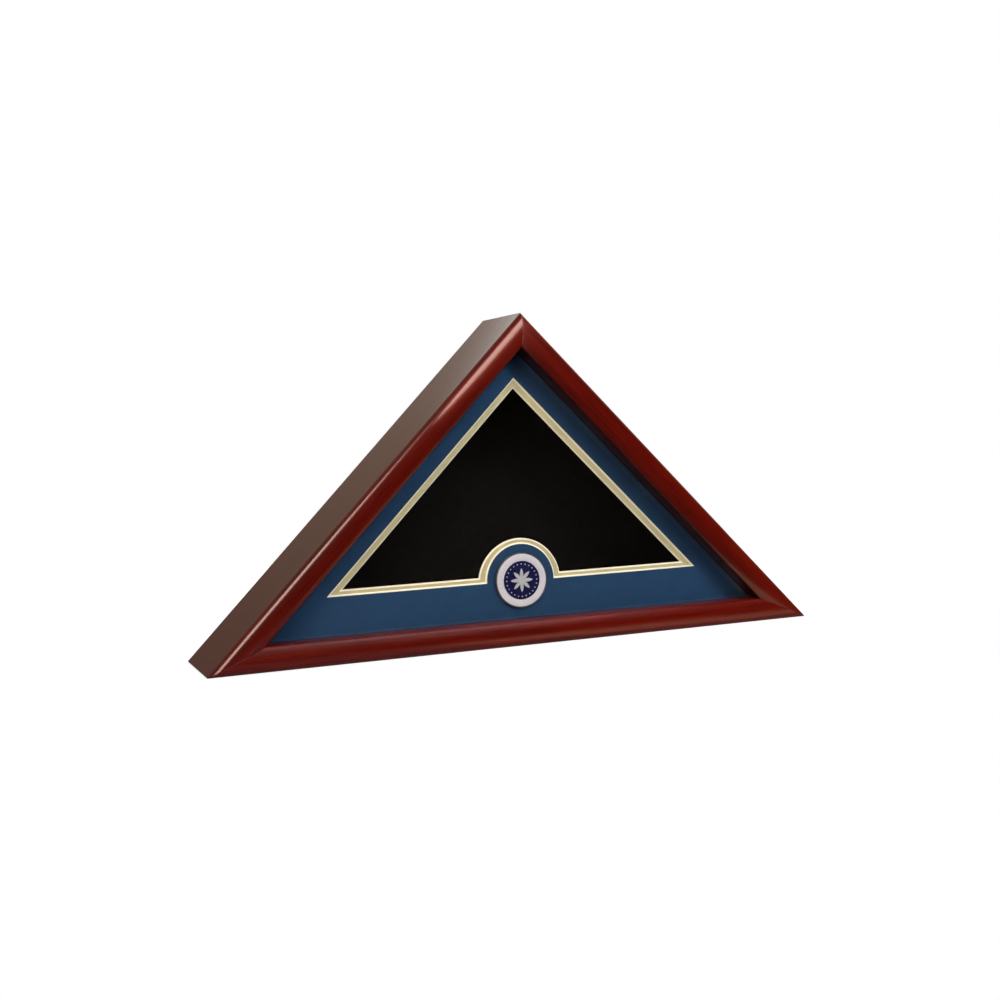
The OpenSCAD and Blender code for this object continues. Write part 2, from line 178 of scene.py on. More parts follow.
class HardwareSizes(bpy.types.PropertyGroup):
    panel: length("Panel", "Thickness of the back panel", 5.3)
    panel_gap: length("Panel gap", "Clearance round the back panel", 0.5)
    seat_gap: length("Seat gap", "Clearance between the panel and its seat", 0.3)
    felt: length("Felt", "Thickness of the cloth on the panel", 1)
    felt_gap: length("Felt gap", "Clearance round the cloth", 0.6)
    button: length("Button", "Distance from a button's pivot to its tip", 22)
    button_round: length("Button round", "Radius of a button's pivot end", 5)
    button_tip: length("Button tip", "Radius of a button's tip", 3.4)
    button_thick: length("Button thickness", "Thickness of a button", 1.5)
    button_gap: length("Button gap", "Clearance under and over a button", 0.25)
    pivot: length("Pivot", "Radius of a pivot screw", 1.75)
    pivot_gap: length("Pivot gap", "Clearance round a pivot screw", 0.06)
    pivot_head: length("Pivot head", "Radius of a pivot screw's head", 3.4)
    pivot_head_height: length("Pivot head height", "Height of a pivot screw's head", 1.7)
    pivot_inset: length("Pivot inset", "Distance from the outer side to a pivot", 6.5)
    pivot_length: length("Pivot length", "Length of a pivot screw in the wood", 14)
    bottom_pivot: length("Bottom pivots", "Distance of the bottom buttons from the middle", 150)
    upper_pivot: length("Upper pivots", "Distance of the upper buttons from the peak", 80)
    lower_pivot: length("Lower pivots", "Distance of the lower buttons from the base corner", 120)
    hanger: length("Hanger", "Distance from the peak to a ring's pivot", 150)
    hanger_inset: length("Hanger inset", "Distance from the outer side to a hanger", 7.4)
    wire: length("Wire", "Radius of a ring's wire", 1.1)
    ring_half: length("Ring half width", "Half width of a ring, to the middle of its wire", 4.8)
    ring_leg: length("Ring leg", "Length of a ring's straight legs", 4)
    ring_bend: length("Ring bend", "Radius of the bends beside a ring's bar", 1.2)
    ring_gap: length("Ring gap", "Clearance of a ring in its strap", 0.08)
    strap: length("Strap", "Thickness of a strap", 0.9)
    strap_gap: length("Strap gap", "Clearance between a strap and a ring's legs", 0.3)
    strap_screw: length("Strap screw", "Distance from a ring's pivot to the strap's screw", 15.5)
    strap_head: length("Strap screw head", "Radius of a strap screw's head", 3)
    strap_head_height: length("Strap head height", "Height of a strap screw's head", 1.6)
    nail_leg: length("Nail leg", "Length of a corner nail's leg", 5.5)
    nail: length("Nail", "Thickness of a corner nail", 0.8)
    nail_depth: length("Nail depth", "Depth that a corner nail reaches in", 10)
    nail_proud: length("Nail proud", "Height that a corner nail stands above the wood", 0.12)
    peak_nail: length("Peak nail", "Distance of the nail from the peak", 9)
    base_nail: length("Base nails", "Distance of the nails from the base corners", 24)


class Finishes(bpy.types.PropertyGroup):
    wood_dark: colour("Dark grain", "Darkest streaks of the stained wood", 100, 10, 1)
    wood: colour("Wood", "Body of the stained wood", 126, 16, 2)
    wood_light: colour("Light grain", "Lightest streaks of the stained wood", 144, 28, 4)
    blue: colour("Blue mat", "Face paper of the top mat", 36, 64, 95)
    gold: colour("Gold mat", "Face paper of the lower mat", 188, 180, 142)
    core: colour("Board core", "Core of the mat boards", 240, 234, 210)
    silver: colour("Silver", "Metal of the medallion", 214, 216, 220)
    rim: colour("Rim", "Darkened metal of the medallion's rim", 84, 84, 88)
    white: colour("White enamel", "Outer ring of the medallion", 212, 209, 217)
    navy: colour("Navy enamel", "Field of the medallion", 20, 22, 66)
    black: colour("Black", "Felt, spacers and stops", 14, 12, 11)
    board: colour("Hardboard", "Back panel", 82, 56, 38)
    brass: colour("Brass", "Turn buttons and their screws", 196, 156, 88)
    steel: colour("Steel", "Rings, straps and nails", 176, 178, 182)


class StageSettings(bpy.types.PropertyGroup):
    lens: bpy.props.FloatProperty(
        name="Lens", description="Focal length on a 36 mm sensor, in millimetres", default=49.09
    )
    yaw: angle("Yaw", "Turn of the camera from straight ahead", -22.257)
    pitch: angle("Pitch", "Tilt of the camera below the horizon", -3.36)
    roll: angle("Roll", "Roll of the camera", 2.114)
    place: bpy.props.FloatVectorProperty(
        name="Place",
        description="Place of the camera",
        default=(-0.5365, -1.2911, 0.2253),
        subtype="TRANSLATION",
        unit="LENGTH",
    )
    key: power("Key", "Power of the key softbox", 8.7)
    side: power("Side", "Power of the upright strip at the left", 8.5)
    top: power("Top", "Power of the strip overhead", 2.6)
    peak: power("Peak", "Power of the small light near the peak", 0.25)
    low: power("Low", "Power of the strip on the floor before the case", 0.05)
    rear: power("Rear", "Power of the softbox behind", 7)
    rear_fill: power("Rear fill", "Power of the lower softbox behind", 9)
    fill: amount("Fill", "Strength of the soft light from all round", 0.15, 4)
    room: amount("Room", "Brightness of the room in front, as gloss shows it", 0.008, 4)
    backdrop_low: amount("Backdrop foot", "Brightness of the backdrop's foot, as gloss shows it", 0.12, 4)
    backdrop_high: amount("Backdrop top", "Brightness of the backdrop's top, as gloss shows it", 0.46, 4)
    floor_glow: amount("Floor glow", "Light added to the floor where it is looked at", 0.82, 4)


# ---- Modelling helpers ----


def deselect():
    if bpy.context.object and bpy.context.object.mode != "OBJECT":
        bpy.ops.object.mode_set(mode="OBJECT")
    bpy.ops.object.select_all(action="DESELECT")


def select_only(*pieces):
    deselect()
    for piece in pieces:
        piece.select_set(True)
    bpy.context.view_layer.objects.active = pieces[0]


def edit(piece):
    """Opens a piece in edit mode with all of it selected."""
    select_only(piece)
    bpy.ops.object.mode_set(mode="EDIT")
    bpy.ops.mesh.select_all(action="SELECT")


def draw(start, path, origin=(0, 0, 0), across=(1, 0, 0), up=(0, 0, 1)):
    """Draws an open outline from a vertex and leaves it in edit mode, all selected.

    Points are pairs in the plane of across and up. A step is a point to go to in a straight
    line, or (centre, point or sweep in degrees, segments) for an arc."""
    origin, across, up = Vector(origin), Vector(across), Vector(up)
    axis = across.cross(up)

    def place(point):
        return origin + across * point[0] + up * point[1]

    deselect()
    bpy.ops.mesh.primitive_plane_add(size=0.001)
    bpy.ops.object.mode_set(mode="EDIT")
    bpy.ops.mesh.merge(type="CENTER")
    bpy.ops.transform.translate(value=place(start))
    at = Vector(start)
    for step in path:
        if len(step) == 2:
            bpy.ops.mesh.extrude_region_move(TRANSFORM_OT_translate={"value": place(step) - place(at)})
            at = Vector(step)
            continue
        centre, target, segments = step
        arm = at - Vector(centre)
        if isinstance(target, (int, float)):
            sweep = math.radians(target)
        else:
            to = Vector(target) - Vector(centre)
            sweep = math.atan2(arm.x * to.y - arm.y * to.x, arm.dot(to))
        bpy.ops.mesh.spin(steps=segments, angle=-sweep, center=place(centre), axis=axis)
        at = Vector(centre) + Matrix.Rotation(sweep, 2) @ arm
    bpy.ops.mesh.select_all(action="SELECT")
    return bpy.context.object


def fill_and_extrude(along):
    """Closes the drawn outline with a face and pulls it out into a solid."""
    bpy.ops.mesh.edge_face_add()
    bpy.ops.mesh.extrude_region_move(TRANSFORM_OT_translate={"value": along})
    outwards()


def outwards():
    bpy.ops.mesh.select_all(action="SELECT")
    bpy.ops.mesh.normals_make_consistent(inside=False)


def turn_solid(axis_place, axis, steps):
    """Spins the drawn profile into a closed round solid."""
    bpy.ops.mesh.spin(steps=steps, angle=math.tau, center=axis_place, axis=axis)
    bpy.ops.mesh.select_all(action="SELECT")
    bpy.ops.mesh.remove_doubles(threshold=MERGE)
    outwards()


def bevel_edges(piece, width, segments, chosen):
    """Rounds the edges that chosen(edge middle, edge direction, sharpness) accepts."""
    edit(piece)
    bpy.ops.mesh.select_all(action="DESELECT")
    bpy.ops.object.mode_set(mode="OBJECT")
    mesh = piece.data
    sides = {}
    for face in mesh.polygons:
        for key in face.edge_keys:
            sides.setdefault(key, []).append(face.normal)
    for edge in mesh.edges:
        ends = [mesh.vertices[i].co for i in edge.vertices]
        faces = sides.get(tuple(sorted(edge.vertices)), [])
        sharp = math.degrees(faces[0].angle(faces[1])) if len(faces) == 2 else 180.0
        edge.select = bool(chosen((ends[0] + ends[1]) / 2, (ends[1] - ends[0]).normalized(), sharp))
    bpy.ops.object.mode_set(mode="EDIT")
    bpy.ops.mesh.select_mode(type="EDGE")
    bpy.ops.mesh.bevel(offset=width, segments=segments, profile=0.5, affect="EDGES", clamp_overlap=True)
    bpy.ops.mesh.select_mode(type="VERT")
    bpy.ops.object.mode_set(mode="OBJECT")


def cut(piece, *cutters):
    """Takes the cutters out of the piece."""
    for cutter in cutters:
        select_only(piece)
        tool = piece.modifiers.new("Cut", "BOOLEAN")
        tool.object, tool.operation, tool.solver = cutter, "DIFFERENCE", "EXACT"
        bpy.ops.object.modifier_apply(modifier=tool.name)
        select_only(cutter)
        bpy.ops.object.delete()


def put(piece, place):
    """Moves a piece by a matrix and leaves the move in its mesh."""
    select_only(piece)
    piece.matrix_world = place
    bpy.ops.object.transform_apply(location=True, rotation=True, scale=True)
    if place.determinant() < 0:
        edit(piece)
        outwards()
        bpy.ops.object.mode_set(mode="OBJECT")
    return piece


def copied(piece, place):
    """A copy with its own mesh, moved by a matrix."""
    select_only(piece)
    bpy.ops.object.duplicate(linked=False)
    return put(bpy.context.object, place)


def joined(*pieces):
    select_only(*pieces)
    bpy.ops.object.join()
    return bpy.context.object


def finish(piece, name, body, nodes, slot, *finishes, smooth=32):
    """Names a piece, smooths it, gives it its finish and ties it to the frame."""
    select_only(piece)
    piece.name = piece.data.name = name
    bpy.ops.object.shade_smooth_by_angle(angle=math.radians(smooth))
    if not piece.data.materials:
        for made in finishes:
            piece.data.materials.append(made)
    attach(piece, body)
    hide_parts(*nodes)
    deselect()
    return piece


def dress(names, made):
    """Gives a finish to CAD nodes that stay as they are."""
    for name in names:
        frame["nodes"][name].data.materials.clear()
        frame["nodes"][name].data.materials.append(made)


def side_place(side):
    """Local frame of a side: X from its middle to the base corner, Y backwards, Z inwards."""
    if side == "bottom":
        return Matrix.Translation((0, FRONT, 0))
    left = Matrix.Translation((-WIDTH / 4, FRONT, HEIGHT / 2)) @ Matrix.Rotation(math.pi - SLOPE, 4, "Y")
    return left if side == "left" else Matrix.Scale(-1, 4, (1, 0, 0)) @ left


def inner_triangle(inset):
    """Corners of the triangle at a distance inside the outer faces: left, right, peak."""
    run = WIDTH / 2 - inset / math.tan(SLOPE / 2)
    return [(-run, inset), (run, inset), (0, HEIGHT - inset / math.cos(SLOPE))]


def triangle_plate(inset, depth, thickness):
    """A triangular sheet of even thickness, its front at a depth behind the crown."""
    corners = inner_triangle(inset)
    piece = draw(corners[0], corners[1:], origin=(0, FRONT + depth, 0))
    fill_and_extrude((0, thickness, 0))
    return piece


# ---- Finishes ----


def add(tree, kind, inputs=None, **settings):
    """Adds a shader node. Inputs are constants, or sockets to link."""
    made = tree.nodes.new("ShaderNode" + kind)
    for name, value in settings.items():
        setattr(made, name, value)
    for name, value in (inputs or {}).items():
        if isinstance(value, bpy.types.NodeSocket):
            tree.links.new(value, made.inputs[name])
        else:
            made.inputs[name].default_value = value
    return made


def new_finish(name, **sockets):
    """A material with one Principled shader, its sockets set by name."""
    made = bpy.data.materials.new(name)
    made.use_nodes = True
    shader = made.node_tree.nodes["Principled BSDF"]
    for socket, value in sockets.items():
        shader.inputs[socket.replace("_", " ")].default_value = value
    return made, made.node_tree, shader


def object_place(tree, size=(1, 1, 1), turn=0.0):
    """Object coordinates counted in features of the given size, turned about Y."""
    place = add(tree, "TexCoord").outputs["Object"]
    return add(
        tree, "Mapping", {"Vector": place, "Rotation": (0, turn, 0), "Scale": size}, vector_type="TEXTURE"
    ).outputs["Vector"]


def noise(tree, vector, detail=3.0, rough=0.55, distortion=0.0):
    inputs = {"Vector": vector, "Scale": 1.0, "Detail": detail, "Roughness": rough, "Distortion": distortion}
    return add(tree, "TexNoise", inputs).outputs["Fac"]


def ramp(tree, factor, *stops):
    """Colours a factor by (position, colour) stops."""
    made = add(tree, "ValToRGB", {"Fac": factor})
    band = made.color_ramp
    while len(band.elements) < len(stops):
        band.elements.new(1.0)
    for element, (position, shade) in zip(band.elements, stops):
        element.position = position
        element.color = (*shade, 1.0) if len(shade) == 3 else shade
    return made.outputs["Color"]


def maths(tree, operation, a, b=0.0, **settings):
    return add(tree, "Math", {0: a, 1: b}, operation=operation, **settings).outputs[0]


def remap(tree, value, low, high, to_low, to_high):
    return add(
        tree,
        "MapRange",
        {"Value": value, "From Min": low, "From Max": high, "To Min": to_low, "To Max": to_high},
    ).outputs["Result"]


def mixed(tree, factor, a, b, blend="MIX"):
    made = add(tree, "Mix", data_type="RGBA", blend_type=blend)
    for socket, value in ((made.inputs["Factor"], factor), (made.inputs[6], a), (made.inputs[7], b)):
        if isinstance(value, bpy.types.NodeSocket):
            tree.links.new(value, socket)
        else:
            opaque = isinstance(value, (tuple, list)) and len(value) == 3
            socket.default_value = (*value, 1.0) if opaque else value
    return made.outputs[2]


def bump(tree, shader, height, distance, strength=1.0):
    made = add(tree, "Bump", {"Height": height, "Distance": distance, "Strength": strength})
    tree.links.new(made.outputs["Normal"], shader.inputs["Normal"])
    return made


def shade(rgb, by):
    return tuple(min(1.0, v * by) for v in rgb)


def stained_wood(side):
    """Red mahogany stain under a satin lacquer, its grain along the rail.

    It has painted shade on the lip walls of the sloping rails, standing in for the shadow there."""
    f = bpy.context.scene.case_finishes
    name = "Stained mahogany, " + side
    turn = {"bottom": 0.0, "left": -SLOPE, "right": SLOPE}[side]
    made, tree, shader = new_finish(
        name, Coat_Weight=1.0, Coat_Roughness=0.28, Coat_IOR=1.5, Specular_IOR_Level=0.0
    )
    ribbons = noise(tree, object_place(tree, (0.22, 0.011, 0.011), turn), 4, 0.6, 0.4)
    streaks = noise(tree, object_place(tree, (0.05, 0.0016, 0.0016), turn), 3, 0.6)
    pores = noise(tree, object_place(tree, (0.0042, 0.00032, 0.00032), turn), 2, 0.5)
    grain = maths(tree, "ADD", ribbons, streaks)
    stops = ((0.1, tuple(f.wood_dark)), (0.5, tuple(f.wood)), (0.95, tuple(f.wood_light)))
    stain = ramp(tree, remap(tree, grain, 0.7, 1.3, 0, 1), *stops)
    tick = remap(tree, pores, 0.62, 0.7, 0, 0.35)
    finish = mixed(tree, tick, stain, shade(f.wood_dark, 0.5))
    # Painted shade: on the sloping rails the lip walls next to the glass are mixed towards a very dark stain,
    # standing in for the shadow that falls there.
    if side != "bottom":
        frame_place, face = side_place(side), bpy.context.scene.case_rails.face
        inwards = frame_place.to_3x3() @ Vector((0, 0, 1))
        spot = add(tree, "TexCoord").outputs["Object"]
        dot = add(tree, "VectorMath", {0: spot, 1: tuple(inwards)}, operation="DOT_PRODUCT")
        reach = dot.outputs["Value"]
        edge = face + inwards.dot(frame_place.translation)
        under = remap(tree, reach, edge - 0.0013, edge - 0.0003, 0, 1)
        finish = mixed(tree, under, finish, shade(f.wood_dark, 0.3))
    tree.links.new(finish, shader.inputs["Base Color"])
    tree.links.new(remap(tree, streaks, 0.3, 0.7, 0.5, 0.65), shader.inputs["Roughness"])
    height = maths(tree, "SUBTRACT", streaks, tick)
    bump(tree, shader, height, 0.00002, 0.35)
    return made


def clear_glass():
    """Picture glass that lets the lamps through to what is behind it."""
    made, tree, shader = new_finish("Picture glass", Transmission_Weight=1.0, Roughness=0.0, IOR=1.45)
    shader.inputs["Base Color"].default_value = (0.97, 0.985, 0.98, 1)
    path = add(tree, "LightPath")
    clear = add(tree, "BsdfTransparent", {"Color": (0.96, 0.975, 0.97, 1)})
    in_shadow = path.outputs["Is Shadow Ray"]
    both = add(tree, "MixShader", {0: in_shadow, 1: shader.outputs[0], 2: clear.outputs[0]})
    tree.links.new(both.outputs[0], tree.nodes["Material Output"].inputs["Surface"])
    return made


def paper(name, rgb, grit=0.0004):
    """Uncoated mat board paper with a fine tooth and faint mottling."""
    made, tree, shader = new_finish(name, Roughness=0.9, Specular_IOR_Level=0.08)
    mottle = noise(tree, object_place(tree, (0.012,) * 3), 3, 0.6)
    tooth = noise(tree, object_place(tree, (grit,) * 3), 2, 0.6)
    base = mixed(tree, remap(tree, mottle, 0.3, 0.7, 0, 1), shade(rgb, 0.95), shade(rgb, 1.05))
    flecks = mixed(tree, remap(tree, tooth, 0.4, 0.75, 0, 0.16), base, shade(rgb, 1.3))
    tree.links.new(flecks, shader.inputs["Base Color"])
    bump(tree, shader, tooth, 0.00003, 0.6)
    return made


def metal(name, rgb, rough=(0.22, 0.38), brush=(0.004, 0.0002, 0.0002), tarnish=0.7, metallic=1.0):
    """Worn metal: fine brushing, uneven polish and darker tarnish."""
    made, tree, shader = new_finish(name, Metallic=metallic)
    scratches = noise(tree, object_place(tree, brush), 3, 0.6)
    cloud = noise(tree, object_place(tree, (0.004,) * 3), 3, 0.6)
    base = mixed(tree, remap(tree, cloud, 0.35, 0.7, 0, 1), shade(rgb, 1.0), shade(rgb, tarnish))
    tree.links.new(base, shader.inputs["Base Color"])
    both = maths(tree, "ADD", scratches, cloud)
    tree.links.new(remap(tree, both, 0.7, 1.3, *rough), shader.inputs["Roughness"])
    bump(tree, shader, scratches, 0.00001, 0.35)
    return made


def enamel(name, rgb, ripple=0.0014):
    """Fired enamel: glossy, with a slight orange peel."""
    made, tree, shader = new_finish(name, Roughness=0.22, Coat_Weight=0.5, Coat_Roughness=0.06)
    peel = noise(tree, object_place(tree, (ripple,) * 3), 2, 0.5)
    grain = noise(tree, object_place(tree, (0.0005,) * 3), 2, 0.5)
    base = mixed(tree, remap(tree, grain, 0.3, 0.7, 0, 1), shade(rgb, 0.93), shade(rgb, 1.04))
    tree.links.new(base, shader.inputs["Base Color"])
    bump(tree, shader, peel, 0.00003, 0.4)
    return made


def felt():
    """Black pressed felt with a soft nap."""
    rgb = tuple(bpy.context.scene.case_finishes.black)
    made, tree, shader = new_finish("Black felt", Roughness=0.95, Sheen_Weight=0.03, Sheen_Roughness=0.5)
    shader.inputs["Specular IOR Level"].default_value = 0.1
    fibres = noise(tree, object_place(tree, (0.0011, 0.0004, 0.0007)), 4, 0.7, 1.2)
    clumps = noise(tree, object_place(tree, (0.009,) * 3), 3, 0.6)
    base = mixed(tree, remap(tree, clumps, 0.3, 0.7, 0, 1), shade(rgb, 0.7), shade(rgb, 1.3))
    napped = mixed(tree, remap(tree, fibres, 0.5, 0.75, 0, 0.5), base, shade(rgb, 2.6))
    tree.links.new(napped, shader.inputs["Base Color"])
    bump(tree, shader, fibres, 0.0002, 0.8)
    return made


def black_paint(name, grain=(0.03, 0.0012, 0.0012)):
    """Flat black paint that lets a little wood grain through."""
    rgb = tuple(bpy.context.scene.case_finishes.black)
    made, tree, shader = new_finish(name, Roughness=0.6)
    streaks = noise(tree, object_place(tree, grain), 3, 0.6)
    base = mixed(tree, remap(tree, streaks, 0.3, 0.7, 0, 1), shade(rgb, 0.8), shade(rgb, 1.5))
    tree.links.new(base, shader.inputs["Base Color"])
    bump(tree, shader, streaks, 0.00005, 0.5)
    return made


def hardboard():
    """Pressed wood fibre with darker flecks and a faint press pattern."""
    rgb = tuple(bpy.context.scene.case_finishes.board)
    made, tree, shader = new_finish("Hardboard", Roughness=0.55)
    cloud = noise(tree, object_place(tree, (0.05,) * 3), 4, 0.6)
    fibre = noise(tree, object_place(tree, (0.0035, 0.0015, 0.0022)), 5, 0.7, 1.5)
    base = mixed(tree, remap(tree, cloud, 0.3, 0.7, 0, 1), shade(rgb, 0.85), shade(rgb, 1.15))
    flecked = mixed(tree, remap(tree, fibre, 0.45, 0.7, 0, 0.75), base, shade(rgb, 0.45))
    tree.links.new(flecked, shader.inputs["Base Color"])
    tree.links.new(remap(tree, fibre, 0.3, 0.7, 0.42, 0.62), shader.inputs["Roughness"])
    bump(tree, shader, fibre, 0.00006, 0.6)
    return made


# ---- Pieces ----


def rail_path(r):
    """Outline of a rail's cross-section in depth and distance inwards, as a start and a path."""

    def edge_circle(radius, inwards):
        """Middle of an edge's rounding, and where it touches the convex face from inside."""
        away = r.face_radius - radius
        middle = Vector((r.face_radius - math.sqrt(away**2 - (inwards - r.crown) ** 2), inwards))
        face_middle = Vector((r.face_radius, r.crown))
        return middle, face_middle + (middle - face_middle) * (r.face_radius / away)

    outer, outer_touch = edge_circle(r.outer_round, r.outer_round)
    lip, lip_touch = edge_circle(r.lip_round, r.face - r.lip_round)
    seat = DEPTH - r.rabbet_depth
    shelf = r.wall - r.rabbet_width
    start = (outer.x, 0)
    path = [
        (outer, outer_touch, 14),
        ((r.face_radius, r.crown), lip_touch, 34),
        (lip, (lip.x, r.face), 6),
        (r.lip_depth, r.face),
        (r.lip_depth, r.wall),
        (seat - r.ease, r.wall),
        ((seat - r.ease, r.wall - r.ease), (seat, r.wall - r.ease), 3),
        (seat, shelf),
        (DEPTH - r.ease, shelf),
        ((DEPTH - r.ease, shelf - r.ease), (DEPTH, shelf - r.ease), 3),
        (DEPTH, r.back_round),
        ((DEPTH - r.back_round, r.back_round), (DEPTH - r.back_round, 0), 8),
    ]
    return start, path


def sand_tip(end, reach, half, radius, cuts=5):
    """Rounds the sharp tip at an end of a rail with flat cuts round a circle."""
    middle = Vector((reach - radius / math.tan(half), 0, radius))
    for i in range(1, cuts + 1):
        turn = (math.pi / 2 - half) * i / cuts
        normal = Vector((math.sin(turn), 0, -math.cos(turn)))
        spot = middle + normal * radius
        bpy.ops.mesh.select_all(action="SELECT")
        bpy.ops.mesh.bisect(
            plane_co=(end * spot.x, 0, spot.z),
            plane_no=(end * normal.x, 0, normal.z),
            use_fill=True,
            clear_outer=True,
        )


def build_rail(side):
    r = bpy.context.scene.case_rails
    reach = (WIDTH if side == "bottom" else SIDE_LENGTH) / 2
    start, path = rail_path(r)
    rail = draw(start, path, origin=(-reach - MITRE_SPARE, 0, 0), across=(0, 1, 0), up=(0, 0, 1))
    fill_and_extrude((2 * (reach + MITRE_SPARE), 0, 0))
    peak = math.pi / 2 - SLOPE
    for end, half in ((1, SLOPE / 2), (-1, SLOPE / 2 if side == "bottom" else peak)):
        if half < peak:
            sand_tip(end, reach, half, r.tip)
        bpy.ops.mesh.select_all(action="SELECT")
        bpy.ops.mesh.bisect(
            plane_co=(end * reach, 0, 0),
            plane_no=(end * math.sin(half), 0, math.cos(half)),
            use_fill=True,
            clear_outer=True,
        )
        bpy.ops.mesh.bevel(offset=r.joint, segments=2, affect="EDGES", clamp_overlap=True)
    outwards()
    bpy.ops.object.mode_set(mode="OBJECT")
    put(rail, side_place(side))
    finish(rail, side + "_rail_polished", "case", [side + "_rail"], "mahogany", stained_wood(side), smooth=14)


class CASE_OT_rails(bpy.types.Operator):
    """Three mitred rails with a convex face, drawn from their cross-section"""

    bl_idname = "case.rails"
    bl_label = "Rails"

    def execute(self, context):
        for side in SIDES:
            build_rail(side)
        return {"FINISHED"}


class CASE_OT_glazing(bpy.types.Operator):
    """Glass pane with ground edges, and black spacer strips behind it"""

    bl_idname = "case.glazing"
    bl_label = "Glass and spacers"

    def execute(self, context):
        g, r = context.scene.case_glazing, context.scene.case_rails
        pane = triangle_plate(r.wall + g.gap, r.lip_depth, g.glass)
        bpy.ops.mesh.bevel(offset=g.arris, segments=1, affect="EDGES")
        finish(pane, "glass_sheet", "case", ["glass_pane"], "glass", clear_glass(), smooth=1)
        black = black_paint("Spacer black", (0.004, 0.004, 0.004))
        dress(["left_spacer", "right_spacer", "bottom_spacer"], black)
        return {"FINISHED"}


class CASE_OT_mats(bpy.types.Operator):
    """Papers of the blue mat and the gold mat behind it, with a cream core where they are cut"""

    bl_idname = "case.mats"
    bl_label = "Mats"

    def execute(self, context):
        f = context.scene.case_finishes
        core = tuple(f.core)
        for name, rgb in (("top_mat", tuple(f.blue)), ("under_mat", tuple(f.gold))):
            made = paper("Mat, " + name, rgb)
            tree = made.node_tree
            shader = tree.nodes["Principled BSDF"]
            face = shader.inputs["Base Color"].links[0].from_socket
            normal = add(tree, "NewGeometry").outputs["True Normal"]
            depthwise = add(tree, "SeparateXYZ", {0: normal}).outputs["Y"]
            flat = add(tree, "Math", {0: depthwise}, operation="ABSOLUTE").outputs[0]
            cut_edge = remap(tree, flat, 0.88, 0.92, 1, 0)
            tree.links.new(mixed(tree, cut_edge, face, core), shader.inputs["Base Color"])
            dress([name], made)
        return {"FINISHED"}


def medallion_place():
    return Matrix.Translation((0, 0, bpy.context.scene.case_glazing.tab_height))


def medallion_depths():
    """Depths behind the crown of the medallion's back, its rim's top, the enamel's top and floor."""
    scene = bpy.context.scene
    g, m, r = scene.case_glazing, scene.case_medallion, scene.case_rails
    back = r.lip_depth + g.glass + g.spacer - m.pad
    rim = back - m.thickness
    return back, rim, rim + m.sink, rim + m.sink + m.enamel


def turned(start, path, steps=96):
    """A round solid about Y from a profile in radius and depth behind the crown."""
    piece = draw(start, path, origin=(0, FRONT, 0), across=(1, 0, 0), up=(0, 1, 0))
    turn_solid((0, 0, 0), (0, 1, 0), steps)
    bpy.ops.object.mode_set(mode="OBJECT")
    return piece


def ring_of(piece, count, place=Matrix.Identity(4)):
    """Copies a piece evenly round Y, joins them with it and moves all by place."""
    copies = [copied(piece, Matrix.Rotation(i * math.tau / count, 4, "Y")) for i in range(1, count)]
    return put(joined(piece, *copies), place)


